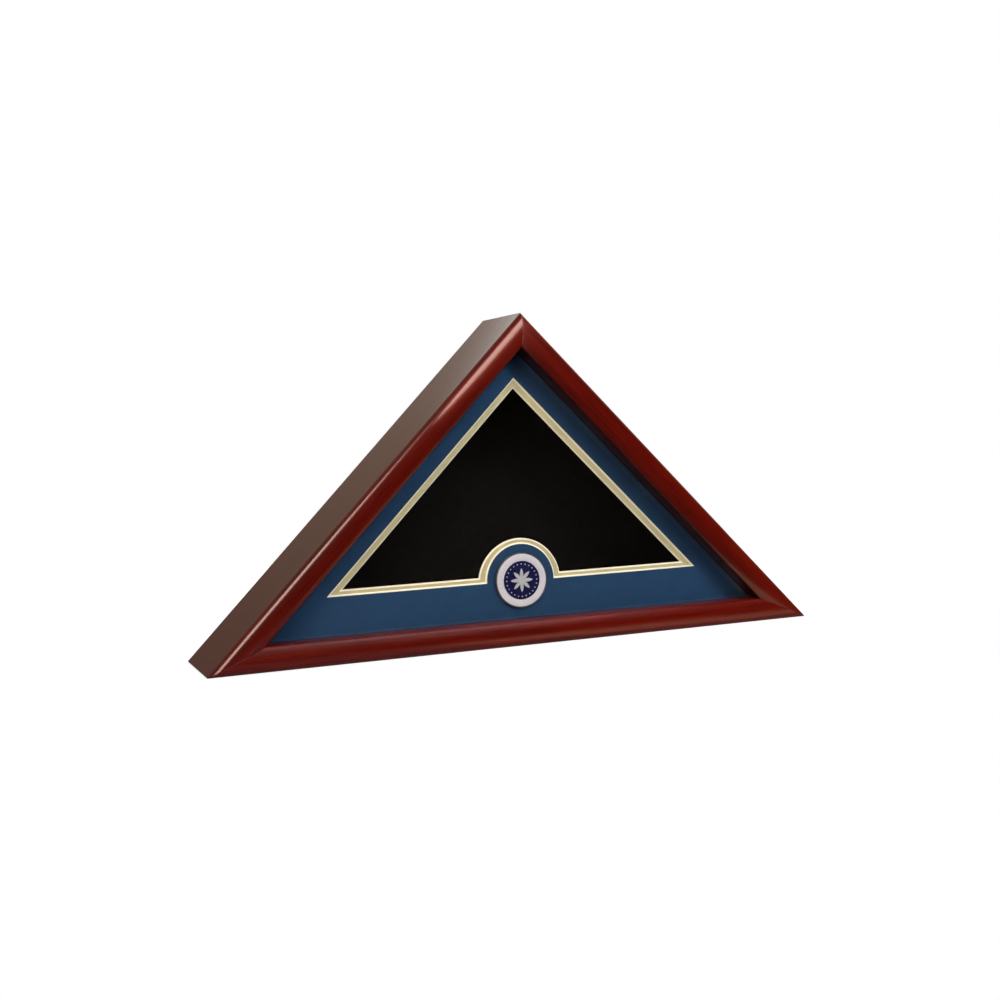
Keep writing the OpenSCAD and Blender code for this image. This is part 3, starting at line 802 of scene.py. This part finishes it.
class CASE_OT_medallion(bpy.types.Operator):
    """Silver medallion: rounded rim, reeded white ring, beads and a rosette on navy"""

    bl_idname = "case.medallion"
    bl_label = "Medallion"

    def execute(self, context):
        m, f = context.scene.case_medallion, context.scene.case_finishes
        back, rim, top, floor = medallion_depths()
        ring_in, ring_out = m.field + m.divider, m.radius - m.rim
        soft, half = m.rim / 2, m.divider / 2
        coin = turned(
            (0, back),
            [
                (m.radius - COIN_EDGE, back),
                (m.radius, back - COIN_EDGE),
                (m.radius, rim + soft),
                ((m.radius - soft, rim + soft), 180, 14),
                (ring_out, floor),
                (ring_in, floor),
                (ring_in, rim + half),
                ((ring_in - half, rim + half), 180, 10),
                (m.field, floor),
                (0, floor),
            ],
        )
        bow = top + BOSS_BOW
        dome = ((0, bow), (0, bow - math.hypot(m.boss, BOSS_BOW)), 8)
        boss = turned((0, floor), [(m.boss, floor), (m.boss, top), dome], 48)
        petal = self.petal(m, top, floor)
        petals = ring_of(petal, m.petals)
        bead = self.bead(m, top)
        beads = ring_of(bead, m.beads)
        reed = self.reed(m, top, floor)
        reeds = ring_of(reed, m.reeds)
        silver = self.silver(m, f)
        body = put(joined(coin, boss, petals, beads, reeds), medallion_place())
        finish(body, "medallion_relief", "case", ["medallion_body"], "medallion_metal", silver, smooth=40)
        brim = top + ENAMEL_DROP
        ring = turned(
            (ring_in, floor),
            [
                (ring_in, brim),
                (ring_in + COIN_EDGE, top),
                (ring_out - COIN_EDGE, top),
                (ring_out, brim),
                (ring_out, floor),
                (ring_in, floor),
            ],
        )
        put(ring, medallion_place())
        white = enamel("White enamel", tuple(f.white))
        finish(ring, "medallion_white_ring", "case", ["medallion_ring"], "white_enamel", white)
        field = turned((0, floor), [(m.field, floor), (m.field, brim), (m.field - COIN_EDGE, top), (0, top)])
        put(field, medallion_place())
        navy = enamel("Navy enamel", tuple(f.navy))
        finish(field, "medallion_navy_field", "case", ["medallion_field"], "navy_enamel", navy)
        foam, tree, shader = new_finish("Pad foam", Roughness=0.9)
        cells = noise(tree, object_place(tree, (0.0005,) * 3), 2, 0.6)
        base = ramp(tree, cells, (0.3, (0.6, 0.58, 0.52)), (0.7, (0.78, 0.76, 0.7)))
        tree.links.new(base, shader.inputs["Base Color"])
        bump(tree, shader, cells, 0.0001)
        dress(["medallion_pad"], foam)
        return {"FINISHED"}

    def silver(self, m, f):
        """Satin silver plate, darker across the rim and down its inner wall."""
        brush = (0.0015, 0.0003, 0.0003)
        made = metal(
            "Medallion silver", tuple(f.silver), rough=(0.24, 0.4), brush=brush, tarnish=0.85, metallic=0.35
        )
        tree, shader = made.node_tree, made.node_tree.nodes["Principled BSDF"]
        plate = shader.inputs["Base Color"].links[0].from_socket
        middle = medallion_place().translation
        spot = add(tree, "TexCoord").outputs["Object"]
        place = add(tree, "VectorMath", {0: spot, 1: middle}, operation="SUBTRACT").outputs[0]
        across = add(tree, "VectorMath", {0: place, 1: (1, 0, 1)}, operation="MULTIPLY").outputs[0]
        away = add(tree, "VectorMath", {0: across}, operation="LENGTH").outputs["Value"]
        dark = remap(tree, away, m.radius - m.rim - 0.0002, m.radius - m.rim + 0.0004, 0, 1)
        tree.links.new(mixed(tree, dark, plate, tuple(f.rim)), shader.inputs["Base Color"])
        return made

    def petal(self, m, top, floor):
        """A pointed petal, domed to a ridge along its middle."""
        radius = ((m.petal_length / 2) ** 2 + (m.petal_width / 2) ** 2) / m.petal_width
        off = radius - m.petal_width / 2
        tip = (0, m.petal_length)
        half = m.petal_length / 2
        path = [((off, half), tip, 12), ((-off, half), (0, 0), 12)]
        piece = draw((0, 0), path, origin=(0, FRONT + floor, 0))
        bpy.ops.mesh.remove_doubles(threshold=MERGE)
        bpy.ops.mesh.edge_face_add()
        bpy.ops.mesh.extrude_region_move(TRANSFORM_OT_translate={"value": (0, top - PETAL_BELOW - floor, 0)})
        bpy.ops.mesh.inset(thickness=m.petal_width * 0.24, depth=0)
        bpy.ops.transform.translate(value=(0, -PETAL_RIDGE, 0))
        outwards()
        bpy.ops.object.mode_set(mode="OBJECT")
        return piece

    def bead(self, m, top):
        """A half-round bead at the top of the bead ring."""
        middle = (0, 0, m.bead_ring)
        piece = draw((0, m.bead), [((0, 0), 90, 6)], origin=middle, across=(1, 0, 0), up=(0, -1, 0))
        bpy.ops.mesh.spin(steps=14, angle=math.tau, center=middle, axis=(0, 1, 0))
        bpy.ops.mesh.select_all(action="SELECT")
        bpy.ops.mesh.remove_doubles(threshold=MERGE)
        outwards()
        bpy.ops.object.mode_set(mode="OBJECT")
        return put(piece, Matrix.Translation((0, FRONT + top + BEAD_BELOW, 0)))

    def reed(self, m, top, floor):
        """A short radial bar on the white ring, rounded at the ends."""
        middle = (m.field + m.divider + m.radius - m.rim) / 2
        high, low = middle + REED_REACH, middle - REED_REACH
        path = [((0, high), -180, 6), (REED_HALF, low), ((0, low), -180, 6)]
        piece = draw((-REED_HALF, high), path, origin=(0, FRONT + floor, 0))
        fill_and_extrude((0, top - REED_BELOW - floor, 0))
        bpy.ops.object.mode_set(mode="OBJECT")
        return piece


class CASE_OT_stops(bpy.types.Operator):
    """Black stops behind the mats and the brads that hold them"""

    bl_idname = "case.stops"
    bl_label = "Stops and brads"

    def execute(self, context):
        steel = tuple(context.scene.case_finishes.steel)
        dress(["left_stop", "right_stop", "bottom_stop"], black_paint("Stop black"))
        dress(["stop_brads"], metal("Brad steel", steel, tarnish=0.5))
        return {"FINISHED"}


class CASE_OT_back(bpy.types.Operator):
    """Hardboard back panel with eased edges, covered with black felt inside"""

    bl_idname = "case.back"
    bl_label = "Back panel"

    def execute(self, context):
        h, r = context.scene.case_hardware, context.scene.case_rails
        depth = DEPTH - r.rabbet_depth + h.seat_gap
        panel = triangle_plate(r.wall - r.rabbet_width + h.panel_gap, depth, h.panel)
        bpy.ops.mesh.bevel(offset=PANEL_EDGE, segments=2, affect="EDGES")
        finish(panel, "back_panel_board", "back_panel", ["back_panel"], "panel_board", hardboard())
        cloth = triangle_plate(r.wall + h.felt_gap, depth - h.felt, h.felt)
        bpy.ops.mesh.bevel(offset=CLOTH_EDGE, segments=2, affect="EDGES")
        finish(cloth, "panel_felt_cloth", "back_panel", ["panel_felt"], "black_felt", felt())
        return {"FINISHED"}


def domed_screw(radius, height, depth, shank, shank_length, cross):
    """A screw along Y with a domed, slotted head whose underside is at a depth behind the crown."""
    brim = height * 0.3
    crown = height - brim
    bend = (radius**2 + crown**2) / (2 * crown)
    screw = turned(
        (0, depth - shank_length),
        [
            (shank * 0.6, depth - shank_length),
            (shank, depth - shank_length + shank * 1.5),
            (shank, depth),
            (radius - SCREW_EDGE, depth),
            (radius, depth + SCREW_EDGE),
            (radius, depth + brim),
            ((0, depth + height - bend), (0, depth + height), 10),
        ],
        40,
    )
    for turn in (0, math.pi / 2) if cross else (0,):
        deselect()
        reach = radius * (0.62 if cross else 1.4)
        bpy.ops.mesh.primitive_cube_add(size=1)
        cutter = bpy.context.object
        thick = radius * 0.24
        size = Matrix.Diagonal((2 * reach, height * 1.1, thick, 1))
        put(cutter, Matrix.Rotation(turn, 4, "Y") @ Matrix.Translation((0, FRONT + depth + height, 0)) @ size)
        cut(screw, cutter)
    return screw


def button_places(side):
    """Places of a side's pivots along it, each with its button's name."""
    h = bpy.context.scene.case_hardware
    if side == "bottom":
        return [(-h.bottom_pivot, "bottom_left_button"), (h.bottom_pivot, "bottom_right_button")]
    return [
        (h.upper_pivot - SIDE_LENGTH / 2, side + "_upper_button"),
        (SIDE_LENGTH / 2 - h.lower_pivot, side + "_lower_button"),
    ]


class CASE_OT_buttons(bpy.types.Operator):
    """Six brass turn buttons and their slotted pivot screws"""

    bl_idname = "case.buttons"
    bl_label = "Turn buttons"

    def execute(self, context):
        h, f = context.scene.case_hardware, context.scene.case_finishes
        brush = (0.006, 0.0004, 0.0003)
        brass = metal("Button brass", tuple(f.brass), rough=(0.24, 0.42), brush=brush, tarnish=0.62)
        screw_brass = metal("Screw brass", shade(f.brass, 0.92), rough=(0.2, 0.36), tarnish=0.6)
        blank = self.blank(h)
        depth = DEPTH + h.button_gap * 2 + h.button_thick
        shank = h.pivot_length + depth - DEPTH
        screw = domed_screw(h.pivot_head, h.pivot_head_height, depth, h.pivot, shank, cross=False)
        screws = []
        slot_turns = iter((20, 75, -35, 110, 60, -10))
        for side in SIDES:
            for x, name in button_places(side):
                flip = Matrix.Scale(-1 if x > 0 else 1, 4, (1, 0, 0))
                at = side_place(side) @ Matrix.Translation((x, -FRONT, h.pivot_inset))
                finish(copied(blank, at @ flip), name + "_plate", name, [name], "button_brass", brass)
                screws.append(copied(screw, at @ Matrix.Rotation(math.radians(next(slot_turns)), 4, "Y")))
        select_only(blank, screw)
        bpy.ops.object.delete()
        finish(joined(*screws), "button_pivot_screws", "case", ["button_screws"], "button_brass", screw_brass)
        return {"FINISHED"}

    def blank(self, h):
        """A tapered button with rounded edges, its pivot on the Y axis and its arm along X."""
        reach = h.button - h.button_tip
        taper = math.asin((h.button_round - h.button_tip) / reach)
        up = Vector((math.sin(taper), math.cos(taper)))
        down = Vector((up.x, -up.y))
        swing = math.degrees(taper)
        depth = DEPTH + h.button_gap
        piece = draw(
            up * h.button_round,
            [
                ((0, 0), 180 + 2 * swing, 32),
                tuple(Vector((reach, 0)) + down * h.button_tip),
                ((reach, 0), 180 - 2 * swing, 20),
            ],
            origin=(0, FRONT + depth, 0),
        )
        fill_and_extrude((0, h.button_thick, 0))
        bpy.ops.object.mode_set(mode="OBJECT")
        bevel_edges(piece, BUTTON_EDGE, 3, lambda middle, along, sharp: sharp > 60)
        deselect()
        bpy.ops.mesh.primitive_cylinder_add(
            vertices=48, radius=h.pivot + h.pivot_gap, depth=2 * h.button_thick, rotation=(math.pi / 2, 0, 0)
        )
        middle = Matrix.Translation((0, FRONT + depth + h.button_thick / 2, 0))
        cutter = put(bpy.context.object, middle @ Matrix.Rotation(math.pi / 2, 4, "X"))
        cut(piece, cutter)
        return piece


class CASE_OT_hangers(bpy.types.Operator):
    """Two D-rings of round wire in bent steel straps, each held by a cross-head screw"""

    bl_idname = "case.hangers"
    bl_label = "Hangers"

    def execute(self, context):
        h, f = context.scene.case_hardware, context.scene.case_finishes
        steel = metal("Hanger steel", tuple(f.steel), rough=(0.2, 0.34), tarnish=0.7)
        plate = self.strap(h)
        screw = domed_screw(
            h.strap_head, h.strap_head_height, DEPTH + h.strap, h.wire, STRAP_SCREW_LENGTH, cross=True
        )
        put(screw, Matrix.Translation((h.strap_screw, 0, 0)))
        ring = self.ring(h)
        straps, screws = [], []
        for side in ("left", "right"):
            at = side_place(side) @ Matrix.Translation((h.hanger - SIDE_LENGTH / 2, -FRONT, h.hanger_inset))
            straps.append(copied(plate, at))
            screws.append(copied(screw, at))
            body = side + "_d_ring"
            finish(copied(ring, at), body + "_wire", body, [body], "hanger_steel", steel, smooth=50)
        select_only(plate, screw, ring)
        bpy.ops.object.delete()
        finish(joined(*straps), "hanger_strap_plates", "case", ["hanger_straps"], "hanger_steel", steel)
        finish(joined(*screws), "hanger_cross_screws", "case", ["hanger_screws"], "hanger_steel", steel)
        return {"FINISHED"}

    def strap(self, h):
        """A steel strip that curls round the ring's bar and lies flat under the screw."""
        inner = h.wire + h.ring_gap
        outer = inner + h.strap
        half = h.ring_half - h.wire - h.strap_gap
        end = h.strap_screw + half
        middle = (0, outer)
        lands = math.degrees(math.asin((outer - h.strap) / outer))
        sweep = 270 + lands
        rest = math.radians(-90 - sweep)
        path = [
            (0, 0),
            (middle, -sweep, 36),
            (inner * math.cos(rest), outer + inner * math.sin(rest)),
            (middle, sweep, 32),
            (end, h.strap),
        ]
        piece = draw((end, 0), path, origin=(0, FRONT + DEPTH, -half), across=(1, 0, 0), up=(0, 1, 0))
        fill_and_extrude((0, 0, 2 * half))
        bpy.ops.object.mode_set(mode="OBJECT")
        bevel_edges(
            piece, half * 0.99, 12, lambda middle, along, sharp: abs(along.y) > 0.9 and middle.x > end - 1e-4
        )
        bevel_edges(piece, STRAP_EDGE, 2, lambda middle, along, sharp: sharp > 60)
        return piece

    def ring(self, h):
        """A D of round wire whose bar turns in the strap's curl."""
        b, half, leg = h.ring_bend, h.ring_half, h.ring_leg
        centre = DEPTH + h.wire + h.ring_gap + h.strap
        path = [
            (0, half - b),
            ((b, half - b), -90, 6),
            (leg, half),
            ((leg, 0), -180, 28),
            (b, -half),
            ((b, b - half), -90, 6),
            (0, 0),
        ]
        piece = draw((0, 0), path, origin=(0, FRONT + centre, 0))
        bpy.ops.mesh.remove_doubles(threshold=MERGE)
        bpy.ops.object.mode_set(mode="OBJECT")
        bpy.ops.object.convert(target="CURVE")
        piece = bpy.context.object
        piece.data.bevel_depth = h.wire
        piece.data.bevel_resolution = 5
        bpy.ops.object.convert(target="MESH")
        return bpy.context.object


class CASE_OT_nails(bpy.types.Operator):
    """Steel corner nails driven into the back of the mitres"""

    bl_idname = "case.nails"
    bl_label = "Corner nails"

    def execute(self, context):
        h = context.scene.case_hardware
        top = DEPTH + h.nail_proud
        leg, t = h.nail_leg / math.sqrt(2), h.nail * math.sqrt(2)
        foot = -leg - t / 2
        path = [(-leg, -leg), (-leg + t / 2, foot), (0, -t), (leg - t / 2, foot), (leg, -leg)]
        nail = draw((0, 0), path, origin=(0, FRONT + top - h.nail_depth, 0))
        fill_and_extrude((0, h.nail_depth, 0))
        bpy.ops.object.mode_set(mode="OBJECT")
        bevel_edges(
            nail, NAIL_EDGE, 2, lambda middle, along, sharp: sharp > 60 and middle.y > FRONT + top - 1e-5
        )
        mitre = Matrix.Translation((-WIDTH / 2, 0, 0)) @ Matrix.Rotation(-SLOPE / 2, 4, "Y")
        corner = mitre @ Matrix.Translation((h.base_nail, 0, 0)) @ Matrix.Rotation(-math.pi / 2, 4, "Y")
        peak = Matrix.Translation((0, 0, HEIGHT - h.peak_nail))
        places = [peak, corner, Matrix.Scale(-1, 4, (1, 0, 0)) @ corner]
        nails = [copied(nail, place) for place in places]
        select_only(nail)
        bpy.ops.object.delete()
        steel = metal("Nail steel", tuple(context.scene.case_finishes.steel), tarnish=0.45)
        finish(joined(*nails), "corner_nail_set", "case", ["corner_nails"], "nail_steel", steel)
        return {"FINISHED"}


# ---- Stage ----


def lamp(
    name, place, target, size, watts, along=(1, 0, 0), tint=(1, 1, 1), only=None, shape="RECTANGLE", pieces=()
):
    """A softbox that faces its target, its long side along an axis, and isn't seen by the camera.

    It lights both matt and polished surfaces, or only one of the two, on all pieces or on the given ones."""
    deselect()
    bpy.ops.object.light_add(type="AREA")
    made = bpy.context.object
    made.name = name
    made.data.shape = shape
    made.data.size, made.data.size_y = size
    made.data.energy, made.data.color = watts, tint
    away = (Vector(place) - Vector(target)).normalized()
    side = (Vector(along) - away * away.dot(Vector(along))).normalized()
    facing = Matrix((side, away.cross(side), away)).transposed().to_4x4()
    made.matrix_world = Matrix.Translation(place) @ facing
    made.visible_camera = False
    made.visible_diffuse = only != "polished"
    made.visible_transmission = only != "polished"
    made.visible_glossy = only != "matt"
    if pieces:
        for piece in pieces:
            piece.select_set(True)
        bpy.ops.object.light_linking_receivers_link(link_state="INCLUDE")
    return made


class CASE_OT_stage(bpy.types.Operator):
    """White floor and surroundings, softboxes and the camera"""

    bl_idname = "case.stage"
    bl_label = "Stage"

    def execute(self, context):
        s = context.scene.case_stage
        self.camera(context, s)
        self.surroundings(context, s)
        self.floor(s)
        rails = [piece for piece in bpy.data.objects if piece.name.endswith("_rail_polished")]
        lamp("Key softbox", (0.45, -1.02, 0.92), (0, 0, 0.14), (0.7, 0.4), s.key, only="matt")
        lamp("Top strip", (0.52, -1.0, 1.6), (0, -0.05, 0.02), (0.9, 0.26), s.top, only="polished")
        lamp(
            "Side strip",
            (-0.6, -0.6, 0.46),
            (-0.22, -0.05, 0.1),
            (0.54, 0.34),
            s.side,
            along=(0, 0, 1),
            tint=(1.0, 0.76, 0.64),
            only="polished",
        )
        small = {"only": "polished", "shape": "ELLIPSE", "pieces": rails}
        lamp(
            "Peak light",
            (-0.011, -0.1, 0.329),
            (-0.011, 0, 0.329),
            (0.043, 0.24),
            s.peak,
            along=(1, 0, -1),
            tint=(1.0, 1.0, 0.86),
            **small,
        )
        lamp(
            "Low strip",
            (0.2, -0.085, 0.0008),
            (0.2, -0.085, 0.1),
            (0.62, 0.05),
            s.low,
            tint=(1.0, 0.8, 0.38),
            **small,
        )
        lamp("Rear softbox", (0.2, 1.6, 1.5), (0, 0, 0.16), (1.4, 0.8), s.rear)
        lamp("Rear fill", (0.15, 1.7, 0.9), (0, 0, 0.16), (1.4, 0.8), s.rear_fill, only="matt")
        deselect()
        return {"FINISHED"}

    def camera(self, context, s):
        deselect()
        bpy.ops.object.camera_add(location=s.place)
        made = bpy.context.object
        made.data.sensor_width = 36
        made.data.lens = s.lens
        upright = Matrix.Rotation(math.pi / 2, 4, "X")
        panned = Matrix.Rotation(s.yaw, 4, "Z") @ Matrix.Rotation(s.pitch, 4, "X")
        turned_to = panned @ Matrix.Rotation(s.roll, 4, "Y")
        made.matrix_world = Matrix.Translation(s.place) @ turned_to @ upright
        made.data.clip_start, made.data.clip_end = 0.01, 50
        context.scene.camera = made

    def floor(self, s):
        """A pale sheet that looks white where no shadow falls on it."""
        deselect()
        bpy.ops.mesh.primitive_plane_add(size=1)
        sheet = bpy.context.object
        put(sheet, Matrix.Translation((0, 0.395, 0)) @ Matrix.Diagonal((2.2, 1.01, 1, 1)))
        sheet.name = "Floor"
        made, tree, shader = new_finish("Floor paper", Roughness=0.9)
        shader.inputs["Base Color"].default_value = (0.6, 0.6, 0.6, 1)
        shader.inputs["Specular IOR Level"].default_value = 0.0
        path = add(tree, "LightPath").outputs
        seen = maths(tree, "MAXIMUM", path["Is Camera Ray"], path["Is Transmission Ray"])
        level = maths(tree, "MULTIPLY", seen, s.floor_glow)
        glow = add(tree, "Emission", {"Color": (1, 1, 1, 1), "Strength": level})
        both = add(tree, "AddShader", {0: shader.outputs[0], 1: glow.outputs[0]})
        tree.links.new(both.outputs[0], tree.nodes["Material Output"].inputs["Surface"])
        sheet.data.materials.append(made)

    def surroundings(self, context, s):
        """White to look at, a pale backdrop behind and a dim room in front for gloss, and an even fill."""
        world = context.scene.world or bpy.data.worlds.new("Studio")
        context.scene.world = world
        world.use_nodes = True
        tree = world.node_tree
        tree.nodes.clear()
        path = add(tree, "LightPath").outputs
        outwards_to = add(tree, "TexCoord").outputs["Generated"]
        way = add(tree, "SeparateXYZ", {0: outwards_to}).outputs
        behind = remap(tree, way["Y"], -0.1, 0.3, 0, 1)
        height = remap(tree, way["Z"], 0.1, 0.42, s.backdrop_low, s.backdrop_high)
        gloss = remap(tree, behind, 0, 1, s.room, height)
        looked_at = maths(tree, "MAXIMUM", path["Is Camera Ray"], path["Is Transmission Ray"])
        bounces = maths(tree, "ADD", path["Diffuse Depth"], path["Glossy Depth"])
        straight = maths(tree, "LESS_THAN", bounces, 0.5)
        white = maths(tree, "MULTIPLY", looked_at, straight)
        glossy = maths(tree, "GREATER_THAN", path["Glossy Depth"], 0.5)
        matt = maths(tree, "GREATER_THAN", path["Diffuse Depth"], 0.5)
        polished = maths(tree, "SUBTRACT", glossy, matt, use_clamp=True)
        level = remap(tree, polished, 0, 1, s.fill, gloss)
        whole = remap(tree, white, 0, 1, level, 1.0)
        warm = mixed(tree, polished, (1, 1, 1), (1.0, 0.97, 0.72))
        light = add(tree, "Background", {"Color": warm, "Strength": whole})
        out = tree.nodes.new("ShaderNodeOutputWorld")
        tree.links.new(light.outputs[0], out.inputs["Surface"])


class CASE_PT_panel(bpy.types.Panel):
    """Lists the pieces of the display case"""

    bl_label = "Display case"
    bl_idname = "CASE_PT_panel"
    bl_space_type = "VIEW_3D"
    bl_region_type = "UI"
    bl_category = "Display case"

    def draw(self, context):
        for piece in PIECES:
            self.layout.operator(piece.bl_idname)


PIECES = (
    CASE_OT_rails,
    CASE_OT_glazing,
    CASE_OT_mats,
    CASE_OT_medallion,
    CASE_OT_stops,
    CASE_OT_back,
    CASE_OT_buttons,
    CASE_OT_hangers,
    CASE_OT_nails,
    CASE_OT_stage,
)
SETTINGS = {
    "case_rails": RailSizes,
    "case_glazing": GlazingSizes,
    "case_medallion": MedallionSizes,
    "case_hardware": HardwareSizes,
    "case_finishes": Finishes,
    "case_stage": StageSettings,
}


def register():
    for group in (*SETTINGS.values(), *PIECES, CASE_PT_panel):
        bpy.utils.register_class(group)
    for name, group in SETTINGS.items():
        setattr(bpy.types.Scene, name, bpy.props.PointerProperty(type=group))


def unregister():
    for name in SETTINGS:
        delattr(bpy.types.Scene, name)
    for group in reversed((*SETTINGS.values(), *PIECES, CASE_PT_panel)):
        bpy.utils.unregister_class(group)


def main():
    register()
    bpy.context.scene.view_settings.view_transform = "Standard"
    bpy.ops.case.rails()
    bpy.ops.case.glazing()
    bpy.ops.case.mats()
    bpy.ops.case.medallion()
    bpy.ops.case.stops()
    bpy.ops.case.back()
    bpy.ops.case.buttons()
    bpy.ops.case.hangers()
    bpy.ops.case.nails()
    bpy.ops.case.stage()


if __name__ == "__main__":
    main()
